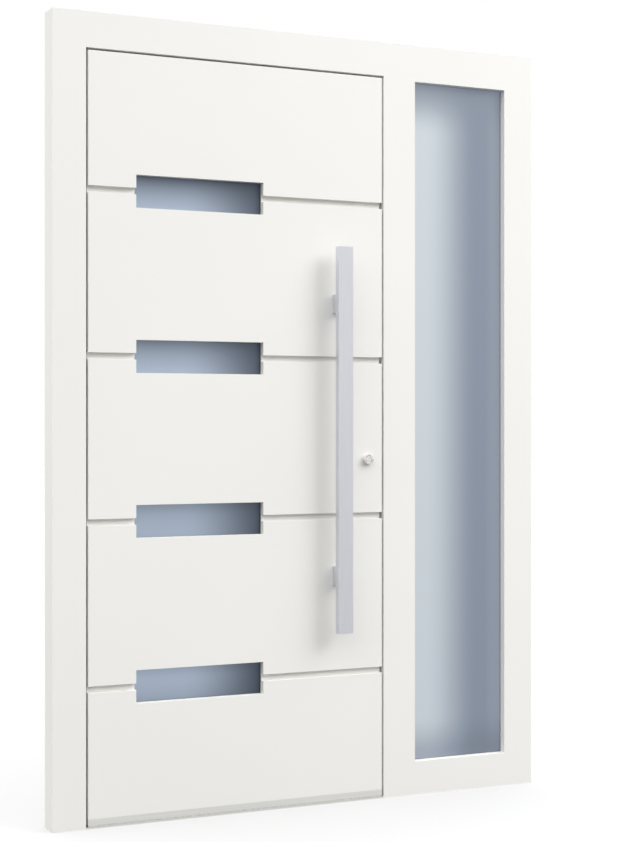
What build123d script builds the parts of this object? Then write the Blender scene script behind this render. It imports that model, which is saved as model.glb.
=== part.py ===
from build123d import *
import os

# A front door set: a frame with a fixed tall side light and one inward-opening leaf.
# Millimetres. +X is right seen from outside, +Y goes into the house, +Z is up.
# The origin is on the underside of the threshold, midway along the width and the depth.

# Outer frame
FRAME_WIDTH = 1500.0
FRAME_HEIGHT = 2200.0
FRAME_DEPTH = 70.0
HINGE_JAMB_FACE = 94.0
SIDE_JAMB_FACE = 95.0
HEAD_FACE = 97.0
MULLION_FACE = 104.0
SIDE_OPENING_WIDTH = 306.0
SIDE_HEAD_DROP = 8.0
SIDE_RAIL_HEIGHT = 98.0
THRESHOLD_THICKNESS = 4.0
THRESHOLD_INSIDE_RUN = 20.0
FRAME_EASE = 0.6

# Clearances between the leaf and the frame
LEAF_GAP = 6.0
FLOOR_GAP = 5.0
FLANGE_CLEARANCE = 5.0
SEAL_CLEARANCE = 0.5

# Side light glazing
GLAZING_REBATE = 10.0
GLAZING_LIP = 22.0
GASKET_THICKNESS = 3.0
PANE_THICKNESS = 4.0
SPACER_THICKNESS = 16.0
SPACER_WIDTH = 12.0
GLASS_EDGE_GAP = 2.0
BEAD_WIDTH = 16.0
BEAD_SLOPE = 6.0

# Leaf
LEAF_DEPTH = 90.0
FACING_THICKNESS = 15.0
FACING_EASE = 0.3
STILE_WIDTH = 100.0
TOP_RAIL_HEIGHT = 100.0
BOTTOM_RAIL_HEIGHT = 120.0
INFILL_SETBACK = 3.0
FLANGE_REACH = 16.0
FLANGE_EASE = 2.0
LEAF_SEAL_WIDTH = 6.0
LEAF_SEAL_INSET = 2.0
BOTTOM_STRIP_HEIGHT = 17.0
BOTTOM_SEAL_INSET = 0.3
BOTTOM_SEAL_DEPTH = 8.0
BOTTOM_SEAL_END = 1.0

# Shadow grooves and the glazed slots that sit on them
GROOVE_COUNT = 4
GROOVE_WIDTH = 18.0
GROOVE_PITCH = 450.0
GROOVES_BELOW_CENTRE = 4.0
LITE_WIDTH = 377.0
LITE_HEIGHT = 90.0
LITE_FROM_HINGE_EDGE = 136.0
LITE_LIP = 5.0
LITE_GASKET = 4.0
LITE_REBATE = 10.0
LITE_GLASS_THICKNESS = 24.0
LITE_TRIM_PROUD = 2.0
LITE_TRIM_PLAY = 0.5

# Pull bar outside
BAR_WIDTH = 45.0
BAR_THICKNESS = 24.0
BAR_LENGTH = 1100.0
BAR_CLEAR = 44.0
BAR_FROM_LOCK_EDGE = 149.0
BAR_BELOW_CENTRE = 9.0
BAR_EASE = 1.2
POST_WIDTH = 20.0
POST_HEIGHT = 54.0
POST_FROM_BAR_END = 160.0

# Lock furniture
LOCK_FROM_LOCK_EDGE = 47.0
LOCK_Z = 988.0
ROSE_RADIUS = 15.0
ROSE_PROUD = 14.0
ROSE_BORE_RADIUS = 9.0
ROSE_DISH_RADIUS = 12.5
ROSE_DISH_DEPTH = 6.0
ROSE_EASE = 2.0
CYLINDER_RADIUS = 8.5
CYLINDER_PROUD = 8.0
KEY_SLOT_WIDTH = 1.6
KEY_SLOT_HEIGHT = 9.0
KEY_SLOT_DEPTH = 4.0
LEVER_Z = 1076.0
LEVER_ROSE_RADIUS = 26.0
LEVER_ROSE_PROUD = 9.0
LEVER_RADIUS = 8.0
LEVER_CLEAR = 32.0
LEVER_REACH = 130.0
LEVER_BEND = 16.0
LEVER_END_EASE = 2.5
INSIDE_ROSE_RADIUS = 22.0
INSIDE_ROSE_PROUD = 8.0
INSIDE_ROSE_EASE = 1.5
PLATE_THICKNESS = 3.0
FACEPLATE_DEPTH = 20.0
FACEPLATE_HEIGHT = 260.0
STRIKE_DEPTH = 24.0
STRIKE_HEIGHT = 280.0
PLATE_CORNER = 4.0
PLATE_Y = 0.0
BOLT_DEPTH = 12.0
BOLT_HEIGHT = 34.0
BOLT_PLAY = 0.5
BOLT_Z_OFFSETS = (-60.0, 70.0)

# Barrel hinges inside
HINGE_FROM_LEAF_END = 244.0
HINGE_AXIS_FROM_EDGE = 29.0
HINGE_AXIS_FROM_FRAME = 12.0
HINGE_LENGTH = 120.0
BARREL_RADIUS = 10.0
PIN_RADIUS = 4.0
PIN_PLAY = 0.05
KNUCKLE_GAP = 0.5
HINGE_PLATE = 3.0
HINGE_PLATE_WIDTH = 42.0
HINGE_WEB = 20.0

# Planes that the sizes above fix
FACE_Y = -FRAME_DEPTH / 2
BACK_Y = FRAME_DEPTH / 2
LEFT_X = -FRAME_WIDTH / 2
RIGHT_X = FRAME_WIDTH / 2
JAMB_X = LEFT_X + HINGE_JAMB_FACE
SIDE_JAMB_X = RIGHT_X - SIDE_JAMB_FACE
MULLION_RIGHT_X = SIDE_JAMB_X - SIDE_OPENING_WIDTH
MULLION_LEFT_X = MULLION_RIGHT_X - MULLION_FACE
HEAD_Z = FRAME_HEIGHT - HEAD_FACE
LIP_Y = FACE_Y + GLAZING_LIP
GLASS_TOP_Z = HEAD_Z - SIDE_HEAD_DROP
REBATE_LOW_Z = SIDE_RAIL_HEIGHT - GLAZING_REBATE
LEAF_LEFT = JAMB_X + LEAF_GAP
LEAF_RIGHT = MULLION_LEFT_X - LEAF_GAP
LEAF_TOP = HEAD_Z - LEAF_GAP
LEAF_BOTTOM = THRESHOLD_THICKNESS + FLOOR_GAP
LEAF_BACK = FACE_Y + LEAF_DEPTH
FRONT_Y = FACE_Y + FACING_THICKNESS
FLANGE_Y = BACK_Y + FLANGE_CLEARANCE
STRIP_TOP = LEAF_BOTTOM + BOTTOM_STRIP_HEIGHT
LITE_LEFT = LEAF_LEFT + LITE_FROM_HINGE_EDGE
LITE_RIGHT = LITE_LEFT + LITE_WIDTH
LEAF_CENTRE_Z = (LEAF_BOTTOM + LEAF_TOP) / 2
LOWEST_GROOVE_Z = LEAF_CENTRE_Z - GROOVES_BELOW_CENTRE - GROOVE_PITCH * (GROOVE_COUNT - 1) / 2
GROOVE_HEIGHTS = [LOWEST_GROOVE_Z + GROOVE_PITCH * i for i in range(GROOVE_COUNT)]
BAR_X = LEAF_RIGHT - BAR_FROM_LOCK_EDGE
LOCK_X = LEAF_RIGHT - LOCK_FROM_LOCK_EDGE
PLATE_Z = (LOCK_Z + LEVER_Z) / 2
HINGE_HEIGHTS = (
    LEAF_BOTTOM + HINGE_FROM_LEAF_END,
    LEAF_CENTRE_Z,
    LEAF_TOP - HINGE_FROM_LEAF_END,
)
HINGE_X = LEAF_LEFT - HINGE_AXIS_FROM_EDGE
HINGE_Y = BACK_Y + HINGE_AXIS_FROM_FRAME

os.makedirs("parts", exist_ok=True)


def rect(x0, x1, z0, z1):
    """A rectangle between two corners, drawn as seen from outside."""
    return Pos((x0 + x1) / 2, (z0 + z1) / 2) * Rectangle(x1 - x0, z1 - z0)


def panel(outline, y0, y1):
    """An outline drawn as seen from outside, given thickness from y0 inward to y1."""
    return extrude(Plane.XZ.offset(-y1) * outline, y1 - y0)


def across(outline, x0, x1):
    """An outline drawn as seen from the left, in Y and Z, run along X."""
    return extrude(Plane.YZ.offset(x0) * outline, x1 - x0)


def standing(outline, z0, z1):
    """An outline drawn in plan, run upward from z0 to z1."""
    return extrude(Plane.XY.offset(z0) * outline, z1 - z0)


def plan(*points):
    """A closed outline through the given corners."""
    return make_face(Polyline(*points, close=True))


def turned(x, z, *profile):
    """A piece turned about an axis along Y, from a closed profile of (radius, y) corners."""
    return Pos(x, 0, z) * revolve(plan(*profile), Axis.Y)


def save(shape, node):
    """Writes one node."""
    export_step(shape, "parts/" + node + ".step")


# Outer frame. One section with both openings is cut into members, so that their faces run
# through flush and only the edges of the openings are eased.
frame_outline = rect(LEFT_X, RIGHT_X, 0, FRAME_HEIGHT)
frame_outline -= rect(JAMB_X, MULLION_LEFT_X, -1, HEAD_Z)
side_opening = rect(MULLION_RIGHT_X, SIDE_JAMB_X, SIDE_RAIL_HEIGHT, GLASS_TOP_Z)
frame_outline -= side_opening
frame_body = panel(frame_outline, FACE_Y, BACK_Y)
opening_edges = [
    edge
    for edge in frame_body.edges().group_by(Axis.Y)[0]
    if LEFT_X + 1 < edge.center().X < RIGHT_X - 1 and 1 < edge.center().Z < FRAME_HEIGHT - 1
]
frame_body = chamfer(opening_edges, FRAME_EASE)
BEAD_LEFT = MULLION_RIGHT_X - GLAZING_REBATE
BEAD_RIGHT = SIDE_JAMB_X + GLAZING_REBATE
frame_body -= panel(rect(BEAD_LEFT, BEAD_RIGHT, REBATE_LOW_Z, HEAD_Z), LIP_Y, BACK_Y + 1)


def member(outline):
    """The share of the frame that lies within an outline seen from outside."""
    return frame_body & panel(outline, FACE_Y - 1, BACK_Y + 1)


def edge_plate(depth, height):
    """The outline of a lock plate with rounded corners, seen from the left."""
    return Pos(PLATE_Y, PLATE_Z) * RectangleRounded(depth, height, PLATE_CORNER)


def bolt_outlines(play):
    """The outlines of the bolts, smaller by the play all round, seen from the left."""
    shape = Rectangle(BOLT_DEPTH - 2 * play, BOLT_HEIGHT - 2 * play)
    return [Pos(PLATE_Y, PLATE_Z + offset) * shape for offset in BOLT_Z_OFFSETS]


save(member(rect(LEFT_X, JAMB_X, 0, FRAME_HEIGHT)), "hinge_jamb")
save(member(rect(SIDE_JAMB_X, RIGHT_X, 0, FRAME_HEIGHT)), "side_jamb")
head_outline = rect(JAMB_X, SIDE_JAMB_X, HEAD_Z, FRAME_HEIGHT)
head_outline += rect(MULLION_RIGHT_X, SIDE_JAMB_X, GLASS_TOP_Z, HEAD_Z)
save(member(head_outline), "head_rail")
save(member(rect(MULLION_RIGHT_X, SIDE_JAMB_X, 0, SIDE_RAIL_HEIGHT)), "side_bottom_rail")

strike_outline = edge_plate(STRIKE_DEPTH, STRIKE_HEIGHT)
strike_back = MULLION_LEFT_X + PLATE_THICKNESS
mullion = member(rect(MULLION_LEFT_X, MULLION_RIGHT_X, 0, HEAD_Z))
save(mullion - across(strike_outline, MULLION_LEFT_X - 1, strike_back), "mullion")
for hole in bolt_outlines(0):
    strike_outline -= hole
save(across(strike_outline, MULLION_LEFT_X, strike_back), "strike_plate")

threshold_outline = rect(FACE_Y, BACK_Y + THRESHOLD_INSIDE_RUN, 0, THRESHOLD_THICKNESS)
save(across(threshold_outline, JAMB_X, MULLION_LEFT_X), "threshold")

# Side light: a sealed unit pressed against the outer lip by beads fitted from inside.
GLASS_LEFT = BEAD_LEFT + GLASS_EDGE_GAP
GLASS_RIGHT = BEAD_RIGHT - GLASS_EDGE_GAP
GLASS_LOW = REBATE_LOW_Z + GLASS_EDGE_GAP
GLASS_HIGH = HEAD_Z - GLASS_EDGE_GAP


def ring(x0, x1, z0, z1, width):
    """The outline of a rectangular ring of one width."""
    return rect(x0, x1, z0, z1) - rect(x0 + width, x1 - width, z0 + width, z1 - width)


gasket_y = LIP_Y + GASKET_THICKNESS
outer_pane_y = gasket_y + PANE_THICKNESS
spacer_y = outer_pane_y + SPACER_THICKNESS
inner_pane_y = spacer_y + PANE_THICKNESS
pane_outline = rect(GLASS_LEFT, GLASS_RIGHT, GLASS_LOW, GLASS_HIGH)
gasket_outline = pane_outline - side_opening
spacer_outline = ring(GLASS_LEFT, GLASS_RIGHT, GLASS_LOW, GLASS_HIGH, SPACER_WIDTH)
save(panel(gasket_outline, LIP_Y, gasket_y), "side_glazing_gasket")
save(panel(pane_outline, gasket_y, outer_pane_y), "side_glass_outer")
save(panel(spacer_outline, outer_pane_y, spacer_y), "side_glass_spacer")
save(panel(pane_outline, spacer_y, inner_pane_y), "side_glass_inner")

# The beads meet in mitres and slope toward the glass.
beads = panel(ring(BEAD_LEFT, BEAD_RIGHT, REBATE_LOW_Z, HEAD_Z, BEAD_WIDTH), inner_pane_y, BACK_Y)
bead_edges = [
    edge
    for edge in beads.edges().group_by(Axis.Y)[-1]
    if BEAD_LEFT + 1 < edge.center().X < BEAD_RIGHT - 1
    and REBATE_LOW_Z + 1 < edge.center().Z < HEAD_Z - 1
]
save(chamfer(bead_edges, BEAD_SLOPE), "side_glazing_beads")

# Leaf frame. The flange at its back laps over the inside of the outer frame.


def stile_plan(edge, inward):
    """The section of a stile in plan: edge is its outer side and inward is +1 or -1 along X."""
    reach = edge - inward * FLANGE_REACH
    return plan(
        (edge, FRONT_Y),
        (edge + inward * STILE_WIDTH, FRONT_Y),
        (edge + inward * STILE_WIDTH, LEAF_BACK),
        (reach + inward * FLANGE_EASE, LEAF_BACK),
        (reach, LEAF_BACK - FLANGE_EASE),
        (reach, FLANGE_Y),
        (edge, FLANGE_Y),
    )


save(standing(stile_plan(LEAF_LEFT, 1), LEAF_BOTTOM, LEAF_TOP), "leaf_hinge_stile")
faceplate_outline = edge_plate(FACEPLATE_DEPTH, FACEPLATE_HEIGHT)
faceplate_back = LEAF_RIGHT - PLATE_THICKNESS
lock_stile = standing(stile_plan(LEAF_RIGHT, -1), LEAF_BOTTOM, LEAF_TOP)
save(lock_stile - across(faceplate_outline, faceplate_back, LEAF_RIGHT + 1), "leaf_lock_stile")

INFILL_LEFT = LEAF_LEFT + STILE_WIDTH
INFILL_RIGHT = LEAF_RIGHT - STILE_WIDTH
INFILL_LOW = LEAF_BOTTOM + BOTTOM_RAIL_HEIGHT
INFILL_HIGH = LEAF_TOP - TOP_RAIL_HEIGHT
flange_top = LEAF_TOP + FLANGE_REACH
top_flange = plan(
    (FLANGE_Y, LEAF_TOP),
    (LEAF_BACK, LEAF_TOP),
    (LEAF_BACK, flange_top - FLANGE_EASE),
    (LEAF_BACK - FLANGE_EASE, flange_top),
    (FLANGE_Y, flange_top),
)
top_rail = across(rect(FRONT_Y, LEAF_BACK, INFILL_HIGH, LEAF_TOP), INFILL_LEFT, INFILL_RIGHT)
top_rail += across(top_flange, LEAF_LEFT - FLANGE_REACH, LEAF_RIGHT + FLANGE_REACH)
save(top_rail, "leaf_top_rail")
bottom_outline = rect(FRONT_Y, LEAF_BACK, LEAF_BOTTOM, INFILL_LOW)
save(across(bottom_outline, INFILL_LEFT, INFILL_RIGHT), "leaf_bottom_rail")

# Infill panel with stepped windows. The glass goes in from inside and stops on the lip.
LIP_BACK = FRONT_Y + LITE_LIP
LITE_GLASS_Y = LIP_BACK + LITE_GASKET
LITE_GLASS_BACK = LITE_GLASS_Y + LITE_GLASS_THICKNESS
INFILL_BACK = LEAF_BACK - INFILL_SETBACK


def lite_outline(z, grow):
    """The outline of one glazed slot at height z, larger by grow all round."""
    half = LITE_HEIGHT / 2 + grow
    return rect(LITE_LEFT - grow, LITE_RIGHT + grow, z - half, z + half)


lip_outline = rect(INFILL_LEFT, INFILL_RIGHT, INFILL_LOW, INFILL_HIGH)
rebate_outline = rect(INFILL_LEFT, INFILL_RIGHT, INFILL_LOW, INFILL_HIGH)
for z in GROOVE_HEIGHTS:
    lip_outline -= lite_outline(z, 0)
    rebate_outline -= lite_outline(z, LITE_REBATE)
infill = panel(lip_outline, FRONT_Y, LIP_BACK) + panel(rebate_outline, LIP_BACK, INFILL_BACK)
save(infill, "leaf_infill")

# Glass units and gaskets of the four slots, and the trims that hold them from inside.
lite_gaskets = []
lite_trims = []
glass_grow = LITE_REBATE - GLASS_EDGE_GAP
trim_grow = LITE_REBATE - LITE_TRIM_PLAY
for number, z in enumerate(reversed(GROOVE_HEIGHTS), start=1):
    glass_outline = lite_outline(z, glass_grow)
    save(panel(glass_outline, LITE_GLASS_Y, LITE_GLASS_BACK), "lite_glass_" + str(number))
    slot = lite_outline(z, 0)
    lite_gaskets.append(panel(glass_outline - slot, LIP_BACK, LITE_GLASS_Y))
    trim_outline = lite_outline(z, trim_grow) - slot
    lite_trims.append(panel(trim_outline, LITE_GLASS_BACK, LEAF_BACK + LITE_TRIM_PROUD))
save(Compound(children=lite_gaskets), "lite_gaskets")
save(Compound(children=lite_trims), "lite_trims")

# Facing. Grooves and slots cut one outline into five boards, and the space between two boards
# is a shadow groove. The edges seen from outside are eased, but not where the strip follows.
facing = rect(LEAF_LEFT, LEAF_RIGHT, STRIP_TOP, LEAF_TOP)
for z in GROOVE_HEIGHTS:
    facing -= rect(LEAF_LEFT, LEAF_RIGHT, z - GROOVE_WIDTH / 2, z + GROOVE_WIDTH / 2)
    facing -= lite_outline(z, 0)
for number, outline in enumerate(reversed(facing.faces().sort_by(Axis.Y)), start=1):
    board = panel(Sketch() + outline, FACE_Y, FRONT_Y)
    seen_edges = board.edges().group_by(Axis.Y)[0]
    eased_edges = [edge for edge in seen_edges if edge.center().Z > STRIP_TOP + FACING_EASE]
    save(chamfer(eased_edges, FACING_EASE), "facing_panel_" + str(number))

strip_outline = rect(LEAF_LEFT, LEAF_RIGHT, LEAF_BOTTOM, STRIP_TOP)
save(panel(strip_outline, FACE_Y, FRONT_Y), "bottom_strip")

# Seals on the leaf. They stand just off the frame and the threshold.
seal_reach = FLANGE_REACH - LEAF_SEAL_INSET
seal_inner = seal_reach - LEAF_SEAL_WIDTH
seal_outline = rect(
    LEAF_LEFT - seal_reach, LEAF_RIGHT + seal_reach, LEAF_BOTTOM, LEAF_TOP + seal_reach
)
seal_outline -= rect(
    LEAF_LEFT - seal_inner, LEAF_RIGHT + seal_inner, LEAF_BOTTOM, LEAF_TOP + seal_inner
)
save(panel(seal_outline, BACK_Y + SEAL_CLEARANCE, FLANGE_Y), "leaf_seal")

seal_front = FACE_Y + BOTTOM_SEAL_INSET
sweep_outline = rect(
    seal_front,
    seal_front + BOTTOM_SEAL_DEPTH,
    THRESHOLD_THICKNESS + SEAL_CLEARANCE,
    LEAF_BOTTOM,
)
save(
    across(sweep_outline, LEAF_LEFT + BOTTOM_SEAL_END, LEAF_RIGHT - BOTTOM_SEAL_END),
    "bottom_seal",
)

# Lock edge
for hole in bolt_outlines(0):
    faceplate_outline -= hole
save(across(faceplate_outline, faceplate_back, LEAF_RIGHT), "lock_faceplate")
bolts = [across(outline, faceplate_back, LEAF_RIGHT) for outline in bolt_outlines(BOLT_PLAY)]
save(Compound(children=bolts), "lock_bolts")

# Lock furniture outside. The rose is a turned collar with a dished mouth round the cylinder.
rose_front = FACE_Y - ROSE_PROUD
rose = turned(
    LOCK_X,
    LOCK_Z,
    (ROSE_BORE_RADIUS, FACE_Y),
    (ROSE_RADIUS, FACE_Y),
    (ROSE_RADIUS, rose_front),
    (ROSE_DISH_RADIUS, rose_front),
    (ROSE_BORE_RADIUS, rose_front + ROSE_DISH_DEPTH),
)
rose_rim = rose.edges().group_by(Axis.Y)[0].sort_by(SortBy.RADIUS)[-1]
save(fillet(rose_rim, ROSE_EASE), "cylinder_rose")

cylinder_front = FACE_Y - CYLINDER_PROUD
cylinder = turned(
    LOCK_X,
    LOCK_Z,
    (0, FACE_Y),
    (CYLINDER_RADIUS, FACE_Y),
    (CYLINDER_RADIUS, cylinder_front),
    (0, cylinder_front),
)
key_slot = Pos(LOCK_X, LOCK_Z) * SlotOverall(KEY_SLOT_HEIGHT, KEY_SLOT_WIDTH, rotation=90)
cylinder -= panel(key_slot, cylinder_front - 1, cylinder_front + KEY_SLOT_DEPTH)
save(cylinder, "lock_cylinder")

# Pull bar outside
BAR_BACK = FACE_Y - BAR_CLEAR
BAR_CENTRE_Z = LEAF_CENTRE_Z - BAR_BELOW_CENTRE
bar_outline = Pos(BAR_X, BAR_CENTRE_Z) * Rectangle(BAR_WIDTH, BAR_LENGTH)
bar = panel(bar_outline, BAR_BACK - BAR_THICKNESS, BAR_BACK)
save(chamfer(bar.edges(), BAR_EASE), "pull_bar")
post_offset = BAR_LENGTH / 2 - POST_FROM_BAR_END
for node, offset in (("pull_post_lower", -post_offset), ("pull_post_upper", post_offset)):
    post_outline = Pos(BAR_X, BAR_CENTRE_Z + offset) * Rectangle(POST_WIDTH, POST_HEIGHT)
    post = panel(post_outline, BAR_BACK, FACE_Y)
    save(chamfer(post.edges().filter_by(Axis.Y), BAR_EASE), node)

# Lock furniture inside
lever_rose_back = LEAF_BACK + LEVER_ROSE_PROUD


def inside_rose(z, radius, proud):
    """A round cover plate on the inside of the leaf with its outer rim eased."""
    back = LEAF_BACK + proud
    plate = turned(LOCK_X, z, (0, LEAF_BACK), (radius, LEAF_BACK), (radius, back), (0, back))
    return fillet(plate.edges().group_by(Axis.Y)[-1], INSIDE_ROSE_EASE)


save(inside_rose(LEVER_Z, LEVER_ROSE_RADIUS, LEVER_ROSE_PROUD), "inside_lever_rose")
save(inside_rose(LOCK_Z, INSIDE_ROSE_RADIUS, INSIDE_ROSE_PROUD), "inside_cylinder_rose")

# The lever is one round bar, bent from its neck into the grip.
grip_y = LEAF_BACK + LEVER_CLEAR + LEVER_RADIUS
lever_path = FilletPolyline(
    (LOCK_X, lever_rose_back, LEVER_Z),
    (LOCK_X, grip_y, LEVER_Z),
    (LOCK_X - LEVER_REACH, grip_y, LEVER_Z),
    radius=LEVER_BEND,
)
lever_section = Plane(lever_path @ 0, z_dir=lever_path % 0) * Circle(LEVER_RADIUS)
lever = sweep(lever_section, path=lever_path)
lever_end = lever.edges().group_by(Axis.X)[0]
save(fillet(lever_end, LEVER_END_EASE), "inside_lever")

# Barrel hinges. The pin is fixed in the frame half, and the leaf half turns on it.
barrel = Pos(HINGE_X, HINGE_Y) * Circle(BARREL_RADIUS)
pin = Pos(HINGE_X, HINGE_Y) * Circle(PIN_RADIUS)
bore = Pos(HINGE_X, HINGE_Y) * Circle(PIN_RADIUS + PIN_PLAY)
frame_knuckle = barrel + plan(
    (HINGE_X - HINGE_WEB, BACK_Y),
    (HINGE_X, BACK_Y),
    (HINGE_X, HINGE_Y),
    (HINGE_X - BARREL_RADIUS, HINGE_Y),
)
frame_plate = rect(
    HINGE_X - HINGE_PLATE_WIDTH - HINGE_WEB, HINGE_X - BARREL_RADIUS, BACK_Y, BACK_Y + HINGE_PLATE
)
plate_x = LEAF_LEFT - FLANGE_REACH
leaf_plate = rect(plate_x, plate_x + HINGE_PLATE_WIDTH, LEAF_BACK, LEAF_BACK + HINGE_PLATE)
leaf_knuckle = barrel + rect(HINGE_X, plate_x, LEAF_BACK, LEAF_BACK + HINGE_PLATE) - bore
knuckle = (HINGE_LENGTH - 2 * KNUCKLE_GAP) / 3
for name, z in zip(("lower", "middle", "upper"), HINGE_HEIGHTS):
    low = z - HINGE_LENGTH / 2
    high = z + HINGE_LENGTH / 2
    frame_half = standing(frame_plate, low, high) + standing(pin, low, high)
    frame_half += standing(frame_knuckle, low, low + knuckle)
    frame_half += standing(frame_knuckle, high - knuckle, high)
    save(frame_half, name + "_frame_hinge")
    leaf_half = standing(leaf_plate, low, high)
    leaf_half += standing(leaf_knuckle, low + knuckle + KNUCKLE_GAP, high - knuckle - KNUCKLE_GAP)
    save(leaf_half, name + "_leaf_hinge")
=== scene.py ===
import math

import bpy
import numpy as np
from bpy.props import FloatProperty, FloatVectorProperty, PointerProperty
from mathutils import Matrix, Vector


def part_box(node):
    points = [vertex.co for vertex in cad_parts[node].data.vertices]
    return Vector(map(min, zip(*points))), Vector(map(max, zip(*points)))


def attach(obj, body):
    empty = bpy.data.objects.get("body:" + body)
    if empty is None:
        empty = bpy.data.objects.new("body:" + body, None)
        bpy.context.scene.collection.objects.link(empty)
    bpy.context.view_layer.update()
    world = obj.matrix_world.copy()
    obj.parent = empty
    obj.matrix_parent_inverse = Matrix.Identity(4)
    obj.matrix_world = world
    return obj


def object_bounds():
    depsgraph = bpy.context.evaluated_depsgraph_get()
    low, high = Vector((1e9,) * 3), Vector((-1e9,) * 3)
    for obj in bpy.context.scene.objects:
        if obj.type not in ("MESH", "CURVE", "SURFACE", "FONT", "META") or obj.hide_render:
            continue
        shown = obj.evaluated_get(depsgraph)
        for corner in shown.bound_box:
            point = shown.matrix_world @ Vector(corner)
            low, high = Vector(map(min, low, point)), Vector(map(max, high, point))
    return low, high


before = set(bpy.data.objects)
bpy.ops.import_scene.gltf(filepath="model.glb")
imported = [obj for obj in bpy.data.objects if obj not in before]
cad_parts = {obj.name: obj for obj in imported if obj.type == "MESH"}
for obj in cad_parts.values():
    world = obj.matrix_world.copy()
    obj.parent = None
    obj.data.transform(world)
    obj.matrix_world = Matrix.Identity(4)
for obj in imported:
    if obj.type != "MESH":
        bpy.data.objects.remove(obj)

bl_info = {
    "name": "Front door finishes",
    "version": (1, 0, 0),
    "blender": (4, 5, 0),
    "location": "View3D > Sidebar > Front door",
    "description": "Finishes a grooved front door with a side light and sets it on a pale stage",
    "category": "Object",
}

CAD_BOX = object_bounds()
MM = 0.001
X, Y, Z = range(3)

# Nodes that share a finish
PAINTED_NODES = (
    "hinge_jamb", "side_jamb", "head_rail", "mullion", "side_bottom_rail",
    "side_glazing_beads", "leaf_hinge_stile", "leaf_lock_stile", "leaf_top_rail",
    "leaf_bottom_rail", "leaf_infill", "lite_trims", "facing_panel_1", "facing_panel_2",
    "facing_panel_3", "facing_panel_4", "facing_panel_5",
)
BAR_NODES = ("pull_bar", "pull_post_lower", "pull_post_upper")
LOCK_NODES = (
    "inside_lever_rose", "inside_lever", "inside_cylinder_rose", "lock_faceplate", "lock_bolts",
    "strike_plate",
)
TURNED_NODES = ("cylinder_rose", "lock_cylinder")
HINGE_LEVELS = ("lower", "middle", "upper")
SILL_NODES = ("bottom_strip", "threshold")
DARK_SEAL_NODES = ("leaf_seal", "lite_gaskets")
SLOT_GLASS_NODES = ("lite_glass_1", "lite_glass_2", "lite_glass_3", "lite_glass_4")
SIDE_GLASS_NODES = ("side_glass_outer", "side_glass_inner")

# Lines in metal: their length and depth over their spacing, and the spread of roughness they bring
BRUSH_STRETCH = 150.0
DIE_STRETCH = 200.0
BRUSH_DEPTH = 1.0 / 16.0
BRUSH_GLOSS_SPREAD = 0.05

# Stretch of a noise's values over which a tint goes from its dark to its light end
NOISE_SPAN = (0.3, 0.7)
BRUSH_SPAN = (0.25, 0.75)

# Grain of the plain rubber and plastic
RUBBER_GRAIN = 3.0 * MM
PLASTIC_GRAIN = 4.0 * MM

# Slot glass: painted shade under the head and at the foot, as shares of full dark
HEAD_SHADE_LOW_ROW = -0.12
HEAD_SHADE_TOP_ROW = 0.95
HEAD_POWER = 1.6
FOOT_SHADE = 0.42
FOOT_POWER = 2.0
FOOT_PITCHES = 1.8

# Slot glass: painted shade towards the lock side, and where it runs as shares of the slot's width
LOCK_SHADE_LOW_ROW = 0.95
LOCK_SHADE_TOP_ROW = 0.85
LOCK_SHADE_FROM = 0.38
LOCK_SHADE_TO = 1.05
CORNER_SHADE = 0.4
CORNER_FROM = 0.93

# Side glass: where its painted shades run, from the nearest edge, and their shares of full dark
MULLION_SHADE_FROM = 50 * MM
MULLION_SHADE_TO = 230 * MM
JAMB_BAND = 60 * MM
JAMB_SHADE_LEFT = 0.78
CROWN_FROM = 160 * MM
CROWN_TO = 20 * MM
CROWN_SHADE = 0.85
EDGE_SHARE = 0.8
SILL_BAND = 140 * MM
SILL_SHADE = 0.6
FALL_SHADE = 0.15
DEEPEST_SHARE = 0.55

# Screw heads: the mesh, and its cross slot as shares of the rise and the radius
SCREW_RINGS = 9
SCREW_COLUMNS = 24
FIRST_RING = 0.02
CROSS_FLOOR = 0.3
CROSS_HALF_WIDTH = 0.14
CROSS_REACH = 0.62

# Screws in the lock's plates and in the hinges
PLATE_SCREW_RADIUS = 4.0 * MM
PLATE_SCREW_RISE = 0.5 * MM
PLATE_SCREW_END = 14 * MM
HINGE_SCREW_RADIUS = 5.0 * MM
HINGE_SCREW_RISE = 0.8 * MM
HINGE_SCREW_EDGE = 16 * MM
HINGE_SCREW_END = 18 * MM
HINGE_PLATE = 3 * MM

# Stage: half the floor's width in metres, its share of plain white, and where the surround's light
# rises from front to side, as shares of the way round
FLOOR_REACH = 30.0
FLOOR_WHITE = 0.5
SKY_SIDE_FROM = 0.1
SKY_SIDE_TO = 0.7
WHITE = (1.0, 1.0, 1.0, 1.0)


def linear(hex_colour):
    """An sRGB hex colour as linear red, green, blue and alpha."""
    value = np.array([int(hex_colour[i:i + 2], 16) for i in (1, 3, 5)]) / 255.0
    low = value / 12.92
    high = ((value + 0.055) / 1.055) ** 2.4
    return (*np.where(value <= 0.04045, low, high).tolist(), 1.0)


def colour(label, note, hex_colour):
    """A colour that a user may change."""
    return FloatVectorProperty(
        name=label, description=note, subtype="COLOR", size=4, min=0.0, max=1.0,
        default=linear(hex_colour),
    )


def length(label, note, default):
    """A length that a user may change, in metres."""
    return FloatProperty(name=label, description=note, default=default, unit="LENGTH")


def angle(label, note, degrees):
    """An angle that a user may change."""
    return FloatProperty(
        name=label, description=note, default=math.radians(degrees), subtype="ANGLE",
    )


def share(label, note, default):
    """A plain strength or share that a user may change."""
    return FloatProperty(name=label, description=note, default=default, min=0.0)


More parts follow.
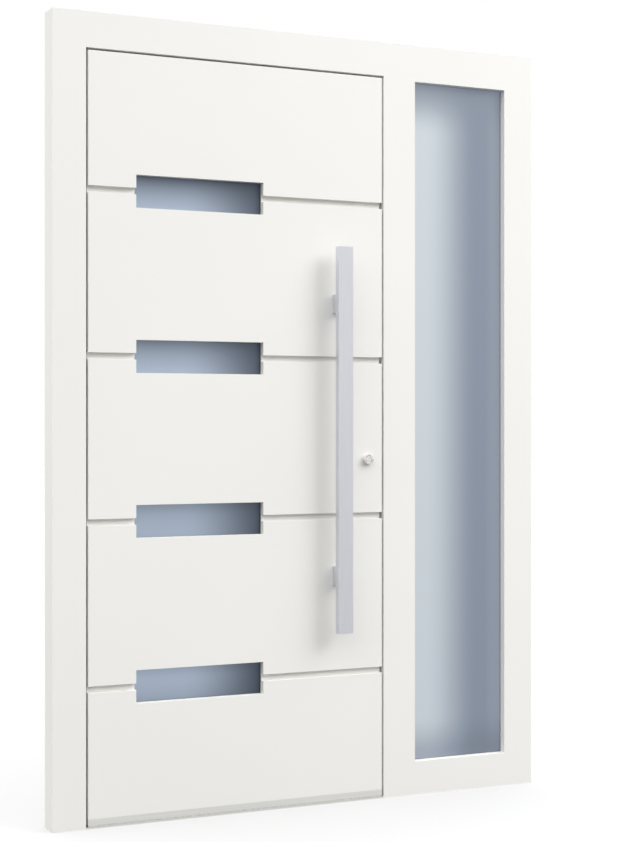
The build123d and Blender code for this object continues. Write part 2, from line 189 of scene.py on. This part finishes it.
class FinishSettings(bpy.types.PropertyGroup):
    """Colours and pattern sizes of the door's finishes."""

    paint: colour("Powder coat", "Colour of the frame and the leaf", "#EFEEEA")
    paint_texture: length("Powder texture", "Width of one bump of the coat", 2.5 * MM)
    paint_cloud: length("Powder shade", "Width of one patch of faint shade in the coat", 625 * MM)
    steel: colour("Stainless steel", "Colour of the pull bar and lock furniture", "#E2E4EA")
    turned_steel: colour("Turned steel", "Colour of the outside lock cylinder and its rose", "#FBFAF8")
    brush_line: length("Brush line", "Spacing of the brushed lines", 0.8 * MM)
    turning_line: length("Turning line", "Spacing of the marks left by turning", 0.1 * MM)
    aluminium: colour("Anodised aluminium", "Colour of the strip and the threshold", "#E0E0DC")
    die_line: length("Die line", "Spacing of the lines that the extrusion die leaves", 4 / 3 * MM)
    # Slot glass: its own pale tint, and its tint under full painted shade
    glass_light: colour("Glass, light", "Satin glass where the hall behind is bright", "#A4B1C3")
    glass_painted_shade: colour("Glass, dark", "Satin glass where the hall behind is dark", "#22303F")
    # Side glass: its own pale tint, and its tint under full painted shade
    side_light: colour("Side light, light", "Side glass where the hall is bright", "#CCD4DA")
    side_glass_painted_shade: colour("Side light, dark", "Side glass where the hall is dark", "#858F9E")
    # Painted glow: this share of the glass's tint is given off as light, as if a hall behind were lit
    painted_glow_share: share("Hall light", "Share of the glass's brightness that comes from the hall", 0.65)
    spacer: colour("Spacer", "Colour of the bar between the panes", "#7A7C7E")
    rubber: colour("Rubber", "Colour of the leaf's seals and the slots' gaskets", "#1B1B1C")
    sweep_rubber: colour("Sweep rubber", "Colour of the seal under the leaf", "#D2D1CC")
    glazing_rubber: colour("Glazing rubber", "Colour of the side light's gasket", "#37393C")


class StageSettings(bpy.types.PropertyGroup):
    """Camera, floor, lamp and surround."""

    camera_distance: length("Camera distance", "From the door's face along the view", 4.862)
    camera_height: length("Camera height", "Above the floor", 1.098)
    camera_turn: angle("Camera turn", "Turn of the view from square on, about the vertical", 25.28)
    camera_aim: length("Camera aim", "Where the view meets the face, along the width", 0.0286)
    camera_lens: FloatProperty(
        name="Lens", description="Focal length on a 36 mm frame", default=72.7, unit="CAMERA",
    )
    key_power: FloatProperty(
        name="Key power", description="Power of the lamp on the right", default=198.0, unit="POWER",
    )
    key_distance: length("Key distance", "From the door's middle to the lamp", 7.5)
    key_size: length("Key size", "Side of the square lamp", 3.75)
    key_side: angle("Key side", "Angle of the lamp to the right of square on", 42.0)
    key_rise: angle("Key rise", "Angle of the lamp above the level", 34.0)
    sky_level: share("Level light", "Strength of the surround at the horizon", 0.3)
    sky_overhead: share("Overhead light", "Strength of the surround overhead", 3.85)
    sky_front: share("Front share", "Share of the surround's light left square in front", 0.62)
    floor_tone: colour("Floor", "Colour of the floor seen directly, before its white", "#BDBDBD")
    floor_bounce: share("Floor bounce", "Share of light that the floor throws back", 0.1)
    floor_in_gloss: share("Floor in gloss", "Brightness of the floor seen in metal and glass", 0.6)


def add_node(tree, kind, settings=None, stops=(), **inputs):
    """Adds one shader node: settings are its properties, stops a ramp's (place, colour) stops, and
    inputs its sockets' values or links, by name or as i0, i1 and so on."""
    made = tree.nodes.new(kind)
    for key, value in (settings or {}).items():
        setattr(made, key, value)
    for index, (place, tint) in enumerate(stops):
        elements = made.color_ramp.elements
        element = elements[index] if index < len(elements) else elements.new(place)
        element.position = place
        element.color = tint
    for key, value in inputs.items():
        name = int(key[1:]) if key[0] == "i" and key[1:].isdigit() else key.replace("_", " ")
        socket = made.inputs[name]
        if isinstance(value, bpy.types.NodeSocket):
            tree.links.new(value, socket)
        else:
            socket.default_value = value
    return made


def new_material(name):
    """An empty node material with its shader and output, as (material, tree, shader)."""
    material = bpy.data.materials.new(name)
    material.use_nodes = True
    tree = material.node_tree
    tree.nodes.clear()
    shader = add_node(tree, "ShaderNodeBsdfPrincipled")
    add_node(tree, "ShaderNodeOutputMaterial", Surface=shader.outputs[0])
    return material, tree, shader


def shade(base, factor):
    """A colour made darker or lighter by one factor."""
    return (*(min(1.0, channel * factor) for channel in base[:3]), 1.0)


def mottle(tone, dark, light, span=NOISE_SPAN):
    """Two ramp stops about a tone, from its dark to its light share, at the ends of a span."""
    return (span[0], shade(tone, dark)), (span[1], shade(tone, light))


def powder_coat(settings):
    """Polyester powder coat on aluminium: satin, with a fine even texture from the melted powder.
    The texture is finer than a pixel, so it only softens the highlights."""
    material, tree, shader = new_material("satin_white_powder_coat")
    place = add_node(tree, "ShaderNodeTexCoord").outputs["Object"]
    grit = add_node(tree, "ShaderNodeTexNoise", Vector=place,
                    Scale=1.0 / settings.paint_texture, Detail=2.0, Roughness=0.5)
    cloud = add_node(tree, "ShaderNodeTexNoise", Vector=place,
                     Scale=1.0 / settings.paint_cloud, Detail=2.0)
    tint = add_node(tree, "ShaderNodeValToRGB", Fac=cloud.outputs[0],
                    stops=mottle(settings.paint, dark=0.985, light=1.005))
    gloss = add_node(tree, "ShaderNodeMapRange", Value=grit.outputs[0], To_Min=0.36, To_Max=0.44)
    bump = add_node(tree, "ShaderNodeBump", Strength=0.05, Distance=0.1 * MM,
                    Height=grit.outputs[0])
    tree.links.new(tint.outputs[0], shader.inputs["Base Color"])
    tree.links.new(gloss.outputs[0], shader.inputs["Roughness"])
    tree.links.new(bump.outputs[0], shader.inputs["Normal"])
    shader.inputs["IOR"].default_value = 1.5
    return material


def brushed_steel(name, tone, along, rough, spacing):
    """Stainless steel with fine parallel lines along one axis, which stretch the highlights. The
    bar's lines are drawn coarser than real ones so that a render shows them."""
    material, tree, shader = new_material(name)
    place = add_node(tree, "ShaderNodeTexCoord").outputs["Object"]
    scale = [1.0 / spacing] * 3
    scale[along] /= BRUSH_STRETCH
    mapped = add_node(tree, "ShaderNodeMapping", Vector=place, Scale=scale)
    lines = add_node(tree, "ShaderNodeTexNoise", Vector=mapped.outputs[0], Scale=1.0, Detail=3.0)
    tint = add_node(tree, "ShaderNodeValToRGB", Fac=lines.outputs[0],
                    stops=mottle(tone, dark=0.93, light=1.05, span=BRUSH_SPAN))
    gloss = add_node(tree, "ShaderNodeMapRange", Value=lines.outputs[0],
                     To_Min=rough - BRUSH_GLOSS_SPREAD, To_Max=rough + BRUSH_GLOSS_SPREAD)
    bump = add_node(tree, "ShaderNodeBump", Strength=0.12, Distance=spacing * BRUSH_DEPTH,
                    Height=lines.outputs[0])
    tree.links.new(tint.outputs[0], shader.inputs["Base Color"])
    tree.links.new(gloss.outputs[0], shader.inputs["Roughness"])
    tree.links.new(bump.outputs[0], shader.inputs["Normal"])
    shader.inputs["Metallic"].default_value = 1.0
    return material


def anodised_aluminium(settings):
    """Extruded aluminium with a clear anodised coat: pale, matt, with faint lines along it."""
    material, tree, shader = new_material("clear_anodised_aluminium")
    place = add_node(tree, "ShaderNodeTexCoord").outputs["Object"]
    line = 1.0 / settings.die_line
    mapped = add_node(tree, "ShaderNodeMapping", Vector=place,
                      Scale=(line / DIE_STRETCH, line, line))
    lines = add_node(tree, "ShaderNodeTexNoise", Vector=mapped.outputs[0], Scale=1.0, Detail=2.0)
    tint = add_node(tree, "ShaderNodeValToRGB", Fac=lines.outputs[0],
                    stops=mottle(settings.aluminium, dark=0.96, light=1.03))
    tree.links.new(tint.outputs[0], shader.inputs["Base Color"])
    shader.inputs["Metallic"].default_value = 0.35
    shader.inputs["Roughness"].default_value = 0.5
    return material


def shade_of(tree, parts):
    """One shade from several: what is left bright after each of them, taken from one."""
    bright = None
    for part in parts:
        left = add_node(tree, "ShaderNodeMath", {"operation": "SUBTRACT"}, i0=1.0,
                        i1=part.outputs[0])
        if bright is not None:
            left = add_node(tree, "ShaderNodeMath", {"operation": "MULTIPLY"},
                            i0=bright.outputs[0], i1=left.outputs[0])
        bright = left
    return add_node(tree, "ShaderNodeMath", {"operation": "SUBTRACT"}, i0=1.0,
                    i1=bright.outputs[0]).outputs[0]


def satin_sheet(tree, shader, factor, settings, stops):
    """Sets a shader to etched glass: part of its tint is a painted glow, given off as light in place
    of a lit hall behind, and the rest is lit from outside, under a soft sheen."""
    lit_share = 1.0 - settings.painted_glow_share
    lit_stops = [(place, shade(tint, lit_share)) for place, tint in stops]
    lit = add_node(tree, "ShaderNodeValToRGB", Fac=factor, stops=lit_stops)
    # Painted glow, given off as light though the glass is no lamp
    painted_glow = add_node(tree, "ShaderNodeValToRGB", Fac=factor, stops=stops)
    tree.links.new(lit.outputs[0], shader.inputs["Base Color"])
    tree.links.new(painted_glow.outputs[0], shader.inputs["Emission Color"])
    shader.inputs["Emission Strength"].default_value = settings.painted_glow_share
    shader.inputs["Roughness"].default_value = 0.32
    shader.inputs["IOR"].default_value = 1.52


def slot_glass(settings):
    """Float glass etched on its outer face, in a narrow deep slot: a satin blue-grey sheet with shade
    painted into its colour. It is lightest towards the hinge side, and painted shade darkens it to
    the lock side and under the slot's head. The painted head shade grows from the lowest slot to
    the top one, and the painted foot shade fades upwards."""
    material, tree, shader = new_material("satin_glass_slot_painted_shade")
    low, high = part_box(SLOT_GLASS_NODES[0])
    next_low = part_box(SLOT_GLASS_NODES[1])[0]
    last_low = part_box(SLOT_GLASS_NODES[-1])[0]
    pitch = low.z - next_low.z
    place = add_node(tree, "ShaderNodeTexCoord").outputs["Object"]
    axes = add_node(tree, "ShaderNodeSeparateXYZ", Vector=place)
    across = add_node(tree, "ShaderNodeMapRange", Value=axes.outputs["X"],
                      From_Min=low.x, From_Max=high.x)
    from_low = add_node(tree, "ShaderNodeMath", {"operation": "SUBTRACT"},
                        i0=axes.outputs["Z"], i1=last_low.z)
    within = add_node(tree, "ShaderNodeMath", {"operation": "MODULO"},
                      i0=from_low.outputs[0], i1=pitch)
    upward = add_node(tree, "ShaderNodeMath", {"operation": "DIVIDE"},
                      i0=within.outputs[0], i1=high.z - low.z)
    row = add_node(tree, "ShaderNodeMapRange", Value=axes.outputs["Z"],
                   From_Min=last_low.z, From_Max=high.z,
                   To_Min=HEAD_SHADE_LOW_ROW, To_Max=HEAD_SHADE_TOP_ROW)
    climb = add_node(tree, "ShaderNodeMath", {"operation": "POWER"},
                     i0=upward.outputs[0], i1=HEAD_POWER)
    head = add_node(tree, "ShaderNodeMath", {"operation": "MULTIPLY"},
                    i0=climb.outputs[0], i1=row.outputs[0])
    low_share = add_node(tree, "ShaderNodeMapRange", Value=axes.outputs["Z"],
                         From_Min=last_low.z, From_Max=last_low.z + FOOT_PITCHES * pitch,
                         To_Min=FOOT_SHADE, To_Max=0.0)
    drop = add_node(tree, "ShaderNodeMath", {"operation": "SUBTRACT"}, i0=1.0, i1=upward.outputs[0])
    sunk = add_node(tree, "ShaderNodeMath", {"operation": "POWER"},
                    i0=drop.outputs[0], i1=FOOT_POWER)
    foot = add_node(tree, "ShaderNodeMath", {"operation": "MULTIPLY"},
                    i0=sunk.outputs[0], i1=low_share.outputs[0])
    ends = add_node(tree, "ShaderNodeMath", {"operation": "ADD", "use_clamp": True},
                    i0=head.outputs[0], i1=foot.outputs[0])
    side_depth = add_node(tree, "ShaderNodeMapRange", Value=axes.outputs["Z"],
                          From_Min=last_low.z, From_Max=high.z,
                          To_Min=LOCK_SHADE_LOW_ROW, To_Max=LOCK_SHADE_TOP_ROW)
    side = add_node(tree, "ShaderNodeMapRange", {"interpolation_type": "SMOOTHSTEP"},
                    Value=across.outputs[0], From_Min=LOCK_SHADE_FROM, From_Max=LOCK_SHADE_TO,
                    To_Max=side_depth.outputs[0])
    corner = add_node(tree, "ShaderNodeMapRange", {"interpolation_type": "SMOOTHSTEP"},
                      Value=across.outputs[0], From_Min=CORNER_FROM, From_Max=1.0,
                      To_Max=CORNER_SHADE)
    # Painted shade over the slot's glass, from its head, its foot, its lock side and that corner
    satin_sheet(tree, shader, shade_of(tree, (ends, side, corner)), settings,
                ((0.0, settings.glass_light), (1.0, settings.glass_painted_shade)))
    return material


def side_light_glass(settings):
    """Float glass etched on its outer face, floor to head: a satin sheet with shade painted into its
    colour. It is lighter along the mullion, and painted shade turns it blue-grey towards the jamb
    and both ends and darkens it a little all the way down."""
    material, tree, shader = new_material("satin_glass_side_painted_shade")
    low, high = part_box(SIDE_GLASS_NODES[0])
    place = add_node(tree, "ShaderNodeTexCoord").outputs["Object"]
    axes = add_node(tree, "ShaderNodeSeparateXYZ", Vector=place)
    across = add_node(tree, "ShaderNodeMapRange", {"interpolation_type": "SMOOTHSTEP"},
                      Value=axes.outputs["X"], From_Min=low.x + MULLION_SHADE_FROM,
                      From_Max=low.x + MULLION_SHADE_TO)
    jamb_light = add_node(tree, "ShaderNodeMapRange", Value=axes.outputs["X"],
                          From_Min=high.x - JAMB_BAND, From_Max=high.x,
                          To_Min=1.0, To_Max=JAMB_SHADE_LEFT)
    dim = add_node(tree, "ShaderNodeMath", {"operation": "MULTIPLY"},
                   i0=across.outputs[0], i1=jamb_light.outputs[0])
    crown = add_node(tree, "ShaderNodeMapRange", {"interpolation_type": "SMOOTHSTEP"},
                     Value=axes.outputs["Z"], From_Min=high.z - CROWN_FROM,
                     From_Max=high.z - CROWN_TO, To_Max=CROWN_SHADE)
    edges = add_node(tree, "ShaderNodeMath", {"operation": "MULTIPLY"},
                     i0=shade_of(tree, (dim, crown)), i1=EDGE_SHARE)
    sill = add_node(tree, "ShaderNodeMapRange", {"interpolation_type": "SMOOTHSTEP"},
                    Value=axes.outputs["Z"], From_Min=low.z + SILL_BAND, From_Max=low.z,
                    To_Max=SILL_SHADE)
    fall = add_node(tree, "ShaderNodeMapRange", Value=axes.outputs["Z"],
                    From_Min=high.z, From_Max=low.z, To_Max=FALL_SHADE)
    # Painted shade over the side glass, from the jamb, the head, the sill and a fall downwards
    satin_sheet(tree, shader, shade_of(tree, (edges, sill, fall)), settings,
                ((0.0, settings.side_light), (EDGE_SHARE, settings.side_glass_painted_shade),
                 (1.0, shade(settings.side_glass_painted_shade, DEEPEST_SHARE))))
    return material


def seal_rubber(name, tone):
    """Extruded rubber: matt, with a slight skin texture."""
    material, tree, shader = new_material(name)
    place = add_node(tree, "ShaderNodeTexCoord").outputs["Object"]
    grain = add_node(tree, "ShaderNodeTexNoise", Vector=place, Scale=1.0 / RUBBER_GRAIN)
    tint = add_node(tree, "ShaderNodeValToRGB", Fac=grain.outputs[0],
                    stops=mottle(tone, dark=0.8, light=1.2))
    tree.links.new(tint.outputs[0], shader.inputs["Base Color"])
    shader.inputs["Roughness"].default_value = 0.75
    return material


def spacer_bar(settings):
    """Extruded plastic bar between the panes: grey and matt, with a faint mottle."""
    material, tree, shader = new_material("grey_extruded_plastic")
    place = add_node(tree, "ShaderNodeTexCoord").outputs["Object"]
    grain = add_node(tree, "ShaderNodeTexNoise", Vector=place, Scale=1.0 / PLASTIC_GRAIN)
    tint = add_node(tree, "ShaderNodeValToRGB", Fac=grain.outputs[0],
                    stops=mottle(settings.spacer, dark=0.92, light=1.06))
    tree.links.new(tint.outputs[0], shader.inputs["Base Color"])
    shader.inputs["Roughness"].default_value = 0.6
    return material


def dress(nodes, material):
    """Gives CAD nodes a finish."""
    for node in nodes:
        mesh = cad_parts[node].data
        mesh.materials.clear()
        mesh.materials.append(material)


def mesh_piece(name, vertices, faces, material, body):
    """A mesh object at the origin that rides on a body."""
    mesh = bpy.data.meshes.new(name)
    mesh.from_pydata(vertices.tolist(), [], faces)
    mesh.polygons.foreach_set("use_smooth", np.ones(len(mesh.polygons), dtype=bool))
    mesh.materials.append(material)
    mesh.update()
    piece = bpy.data.objects.new(name, mesh)
    bpy.context.scene.collection.objects.link(piece)
    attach(piece, body)
    return piece


def closed_faces(rings, columns):
    """Faces of a closed shape made of rings between two poles. Vertex 0 is the first pole, the rings
    follow one after another, and the last vertex is the other pole. Quads join each ring to the
    next, and a fan of triangles closes each pole. Returns (quads, triangles)."""
    column = np.arange(columns)
    following = (column + 1) % columns
    start = 1 + columns * np.arange(rings - 1)[:, None]
    corners = (start + column, start + columns + column, start + columns + following,
               start + following)
    quads = np.stack(corners, axis=-1).reshape(-1, 4)
    last = 1 + columns * (rings - 1)
    cap = np.stack((np.zeros_like(column), 1 + column, 1 + following), axis=-1)
    base = np.stack((np.full_like(column, last + columns), last + following, last + column), axis=-1)
    return quads, np.concatenate((cap, base))


def screw_head(radius, rise):
    """A raised countersunk head: height falls with the square of the distance from the axis, and
    a cross slot is pressed in where either side coordinate is near zero. The rings run from the
    axis to the rim and down a short skirt. Returns (vertices about the origin, quads, triangles),
    facing +Z."""
    sunk = CROSS_FLOOR * rise
    reach = np.linspace(FIRST_RING, 1.0, SCREW_RINGS)[:, None]
    turn = np.linspace(0.0, 2.0 * math.pi, SCREW_COLUMNS, endpoint=False)[None, :]
    side = reach * np.cos(turn) * radius
    up = reach * np.sin(turn) * radius
    height = rise * (1.0 - reach ** 2) * np.ones_like(turn)
    narrow = np.minimum(np.abs(side), np.abs(up)) < CROSS_HALF_WIDTH * radius
    inner = reach < CROSS_REACH
    height = height - np.where(narrow & inner, rise - sunk, 0.0)
    dome = np.stack((side, up, height), axis=-1).reshape(-1, 3)
    skirt = np.stack((side[-1], up[-1], np.full(SCREW_COLUMNS, -sunk)), axis=-1)
    poles = np.array(((0.0, 0.0, sunk), (0.0, 0.0, -sunk)))
    vertices = np.concatenate((poles[:1], dome, skirt, poles[1:]))
    return vertices, *closed_faces(SCREW_RINGS + 1, SCREW_COLUMNS)


def placed(vertices, centre, facing):
    """Turns points that face +Z to face along one axis, such as (0, 1, 0), and moves them."""
    normal = np.array(facing, dtype=float)
    up = np.array((0.0, 0.0, 1.0))
    side = np.cross(up, normal)
    basis = np.stack((side, up, normal))
    return vertices @ basis + np.array(centre)


def screws(name, centres, facing, radius, rise, material, body):
    """One piece that holds a set of like screw heads."""
    vertices, quads, triangles = screw_head(radius, rise)
    many = np.concatenate([placed(vertices, centre, facing) for centre in centres])
    first = len(vertices) * np.arange(len(centres))[:, None, None]
    faces = [*(first + quads).reshape(-1, 4).tolist(), *(first + triangles).reshape(-1, 3).tolist()]
    return mesh_piece(name, many, faces, material, body)


def ray_kinds(tree):
    """Two sockets: one for rays from the camera or a clear pane, and one for rays from a gloss."""
    path = add_node(tree, "ShaderNodeLightPath")
    direct = add_node(tree, "ShaderNodeMath", {"operation": "ADD", "use_clamp": True},
                      i0=path.outputs["Is Camera Ray"], i1=path.outputs["Is Transmission Ray"])
    return direct.outputs[0], path.outputs["Is Glossy Ray"]


def build_floor(scene, stage):
    """A wide pale floor. Seen directly it is near white and keeps the door's shadow, a gloss sees
    it a little darker than the surround, and it throws back a modest share of the light."""
    sides = np.array(((-1, -1, 0), (1, -1, 0), (1, 1, 0), (-1, 1, 0)))
    mesh = bpy.data.meshes.new("pale_floor")
    mesh.from_pydata((FLOOR_REACH * sides).tolist(), [], [(0, 1, 2, 3)])
    material = bpy.data.materials.new("pale_matt_floor")
    material.use_nodes = True
    tree = material.node_tree
    tree.nodes.clear()
    direct, gloss = ray_kinds(tree)
    matt = add_node(tree, "ShaderNodeBsdfDiffuse", Color=shade(WHITE, stage.floor_bounce))
    mirrored = add_node(tree, "ShaderNodeEmission", Strength=stage.floor_in_gloss)
    plain = add_node(tree, "ShaderNodeBsdfDiffuse", Color=stage.floor_tone)
    white = add_node(tree, "ShaderNodeEmission", Strength=1.0)
    seen = add_node(tree, "ShaderNodeMixShader", i0=FLOOR_WHITE, i1=plain.outputs[0],
                    i2=white.outputs[0])
    unseen = add_node(tree, "ShaderNodeMixShader", i0=gloss, i1=matt.outputs[0],
                      i2=mirrored.outputs[0])
    mixed = add_node(tree, "ShaderNodeMixShader", i0=direct, i1=unseen.outputs[0],
                     i2=seen.outputs[0])
    add_node(tree, "ShaderNodeOutputMaterial", Surface=mixed.outputs[0])
    mesh.materials.append(material)
    floor = bpy.data.objects.new("pale_floor", mesh)
    scene.collection.objects.link(floor)


def build_sky(scene, stage):
    """A soft surround that lights the door from overhead more than from the level and from both
    sides more than from the front, and is plain white where it is seen directly or in a gloss."""
    world = bpy.data.worlds.new("white_surround")
    world.use_nodes = True
    tree = world.node_tree
    tree.nodes.clear()
    direct, gloss = ray_kinds(tree)
    toward = add_node(tree, "ShaderNodeTexCoord").outputs["Generated"]
    axes = add_node(tree, "ShaderNodeSeparateXYZ", Vector=toward)
    height = add_node(tree, "ShaderNodeMapRange", Value=axes.outputs["Z"],
                      To_Min=stage.sky_level, To_Max=stage.sky_overhead)
    aside = add_node(tree, "ShaderNodeMath", {"operation": "ABSOLUTE"}, i0=axes.outputs["X"])
    sides = add_node(tree, "ShaderNodeMapRange", {"interpolation_type": "SMOOTHSTEP"},
                     Value=aside.outputs[0], From_Min=SKY_SIDE_FROM, From_Max=SKY_SIDE_TO,
                     To_Min=stage.sky_front)
    strength = add_node(tree, "ShaderNodeMath", {"operation": "MULTIPLY"},
                        i0=height.outputs[0], i1=sides.outputs[0])
    lit = add_node(tree, "ShaderNodeBackground", Color=WHITE, Strength=strength.outputs[0])
    white = add_node(tree, "ShaderNodeBackground", Color=WHITE, Strength=1.0)
    shown = add_node(tree, "ShaderNodeMath", {"operation": "ADD", "use_clamp": True},
                     i0=direct, i1=gloss)
    mixed = add_node(tree, "ShaderNodeMixShader", i0=shown.outputs[0], i1=lit.outputs[0],
                     i2=white.outputs[0])
    add_node(tree, "ShaderNodeOutputWorld", Surface=mixed.outputs[0])
    scene.world = world


def build_lamp(scene, stage):
    """A soft square lamp to the right of the door and above it, turned to the door's middle. Metal
    and glass show the pale surround and not the lamp's own square."""
    lamp = bpy.data.lights.new("key_lamp", "AREA")
    lamp.shape = "SQUARE"
    lamp.size = stage.key_size
    lamp.energy = stage.key_power
    made = bpy.data.objects.new("key_lamp", lamp)
    made.visible_glossy = False
    level = math.cos(stage.key_rise) * stage.key_distance
    middle = (CAD_BOX[1].z + CAD_BOX[0].z) / 2
    made.location = (level * math.sin(stage.key_side), -level * math.cos(stage.key_side),
                     middle + stage.key_distance * math.sin(stage.key_rise))
    made.rotation_euler = (math.pi / 2 - stage.key_rise, 0.0, stage.key_side)
    scene.collection.objects.link(made)


def build_camera(scene, stage):
    """A level camera to the left of the door, turned towards it."""
    lens = bpy.data.cameras.new("camera")
    lens.lens = stage.camera_lens
    camera = bpy.data.objects.new("camera", lens)
    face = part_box("hinge_jamb")[0].y
    turn = stage.camera_turn
    camera.location = (stage.camera_aim - stage.camera_distance * math.sin(turn),
                       face - stage.camera_distance * math.cos(turn), stage.camera_height)
    camera.rotation_euler = (math.pi / 2, 0.0, -turn)
    scene.collection.objects.link(camera)
    scene.camera = camera


class DOOR_OT_paint(bpy.types.Operator):
    """Powder coats the frame and the leaf"""

    bl_idname = "door.paint"
    bl_label = "Frame and leaf"

    def execute(self, context):
        dress(PAINTED_NODES, powder_coat(context.scene.door_finish))
        return {"FINISHED"}


class DOOR_OT_slot_glass(bpy.types.Operator):
    """Glazes the narrow slots of the leaf"""

    bl_idname = "door.slot_glass"
    bl_label = "Slot glass"

    def execute(self, context):
        dress(SLOT_GLASS_NODES, slot_glass(context.scene.door_finish))
        return {"FINISHED"}


class DOOR_OT_side_glass(bpy.types.Operator):
    """Glazes the side light"""

    bl_idname = "door.side_glass"
    bl_label = "Side light"

    def execute(self, context):
        settings = context.scene.door_finish
        dress(SIDE_GLASS_NODES, side_light_glass(settings))
        dress(("side_glass_spacer",), spacer_bar(settings))
        return {"FINISHED"}


class DOOR_OT_pull_bar(bpy.types.Operator):
    """Brushes the pull bar and its posts along the bar's length"""

    bl_idname = "door.pull_bar"
    bl_label = "Pull bar"

    def execute(self, context):
        settings = context.scene.door_finish
        steel = brushed_steel("stainless_steel_brushed_upright", settings.steel, along=Z,
                              rough=0.44, spacing=settings.brush_line)
        dress(BAR_NODES, steel)
        return {"FINISHED"}


class DOOR_OT_lock(bpy.types.Operator):
    """Finishes the lock furniture and sets the screws of its plates"""

    bl_idname = "door.lock"
    bl_label = "Lock furniture"

    def execute(self, context):
        settings = context.scene.door_finish
        steel = brushed_steel("stainless_steel_brushed_level", settings.steel, along=X,
                              rough=0.26, spacing=settings.brush_line)
        dress(LOCK_NODES, steel)
        turned = brushed_steel("stainless_steel_turned", settings.turned_steel, along=Y,
                               rough=0.24, spacing=settings.turning_line)
        dress(TURNED_NODES, turned)
        for node, body, facing in (
            ("strike_plate", "frame", (-1.0, 0.0, 0.0)),
            ("lock_faceplate", "leaf", (1.0, 0.0, 0.0)),
        ):
            low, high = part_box(node)
            x = low.x if facing[X] < 0 else high.x
            y = (low.y + high.y) / 2
            centres = [(x, y, low.z + PLATE_SCREW_END), (x, y, high.z - PLATE_SCREW_END)]
            screws(node + "_screws", centres, facing, PLATE_SCREW_RADIUS, PLATE_SCREW_RISE,
                   steel, body)
        return {"FINISHED"}


class DOOR_OT_hinges(bpy.types.Operator):
    """Finishes the barrel hinges and sets the screws of their plates"""

    bl_idname = "door.hinges"
    bl_label = "Hinges"

    def execute(self, context):
        settings = context.scene.door_finish
        steel = brushed_steel("stainless_steel_satin_hinge", settings.steel, along=Z,
                              rough=0.32, spacing=settings.brush_line)
        for level in HINGE_LEVELS:
            for body in ("frame", "leaf"):
                node = level + "_" + body + "_hinge"
                dress((node,), steel)
                low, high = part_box(node)
                x = low.x + HINGE_SCREW_EDGE if body == "frame" else high.x - HINGE_SCREW_EDGE
                y = low.y + HINGE_PLATE if body == "frame" else high.y
                heights = (low.z + HINGE_SCREW_END, (low.z + high.z) / 2, high.z - HINGE_SCREW_END)
                centres = [(x, y, z) for z in heights]
                screws(node + "_screws", centres, (0.0, 1.0, 0.0), HINGE_SCREW_RADIUS,
                       HINGE_SCREW_RISE, steel, body)
        return {"FINISHED"}


class DOOR_OT_sills(bpy.types.Operator):
    """Finishes the leaf's bottom strip and the threshold"""

    bl_idname = "door.sills"
    bl_label = "Strip and threshold"

    def execute(self, context):
        dress(SILL_NODES, anodised_aluminium(context.scene.door_finish))
        return {"FINISHED"}


class DOOR_OT_seals(bpy.types.Operator):
    """Finishes the seals and gaskets"""

    bl_idname = "door.seals"
    bl_label = "Seals"

    def execute(self, context):
        settings = context.scene.door_finish
        dress(DARK_SEAL_NODES, seal_rubber("extruded_black_rubber", settings.rubber))
        dress(("side_glazing_gasket",),
              seal_rubber("extruded_grey_rubber", settings.glazing_rubber))
        dress(("bottom_seal",), seal_rubber("extruded_pale_rubber", settings.sweep_rubber))
        return {"FINISHED"}


class DOOR_OT_stage(bpy.types.Operator):
    """Sets the floor, the surround's light, the lamp and the camera"""

    bl_idname = "door.stage"
    bl_label = "Stage"

    def execute(self, context):
        stage = context.scene.door_stage
        build_floor(context.scene, stage)
        build_sky(context.scene, stage)
        build_lamp(context.scene, stage)
        build_camera(context.scene, stage)
        context.scene.view_settings.view_transform = "Standard"
        return {"FINISHED"}


OPERATORS = (
    DOOR_OT_paint, DOOR_OT_slot_glass, DOOR_OT_side_glass, DOOR_OT_pull_bar, DOOR_OT_lock,
    DOOR_OT_hinges, DOOR_OT_sills, DOOR_OT_seals, DOOR_OT_stage,
)


class DOOR_PT_panel(bpy.types.Panel):
    """Lists the door's finishes"""

    bl_idname = "DOOR_PT_panel"
    bl_label = "Front door"
    bl_space_type = "VIEW_3D"
    bl_region_type = "UI"
    bl_category = "Front door"

    def draw(self, context):
        for operator in OPERATORS:
            self.layout.operator(operator.bl_idname)
        for group in (context.scene.door_finish, context.scene.door_stage):
            for name in group.__annotations__:
                self.layout.prop(group, name)


CLASSES = (FinishSettings, StageSettings, *OPERATORS, DOOR_PT_panel)


def register():
    """Adds the classes, and the settings to the scene."""
    for each in CLASSES:
        bpy.utils.register_class(each)
    bpy.types.Scene.door_finish = PointerProperty(type=FinishSettings)
    bpy.types.Scene.door_stage = PointerProperty(type=StageSettings)


def unregister():
    """Takes the settings and the classes away again."""
    del bpy.types.Scene.door_stage
    del bpy.types.Scene.door_finish
    for each in reversed(CLASSES):
        bpy.utils.unregister_class(each)


def main():
    """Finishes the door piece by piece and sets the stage."""
    register()
    bpy.ops.door.paint()
    bpy.ops.door.slot_glass()
    bpy.ops.door.side_glass()
    bpy.ops.door.pull_bar()
    bpy.ops.door.lock()
    bpy.ops.door.hinges()
    bpy.ops.door.sills()
    bpy.ops.door.seals()
    bpy.ops.door.stage()


if __name__ == "__main__":
    main()
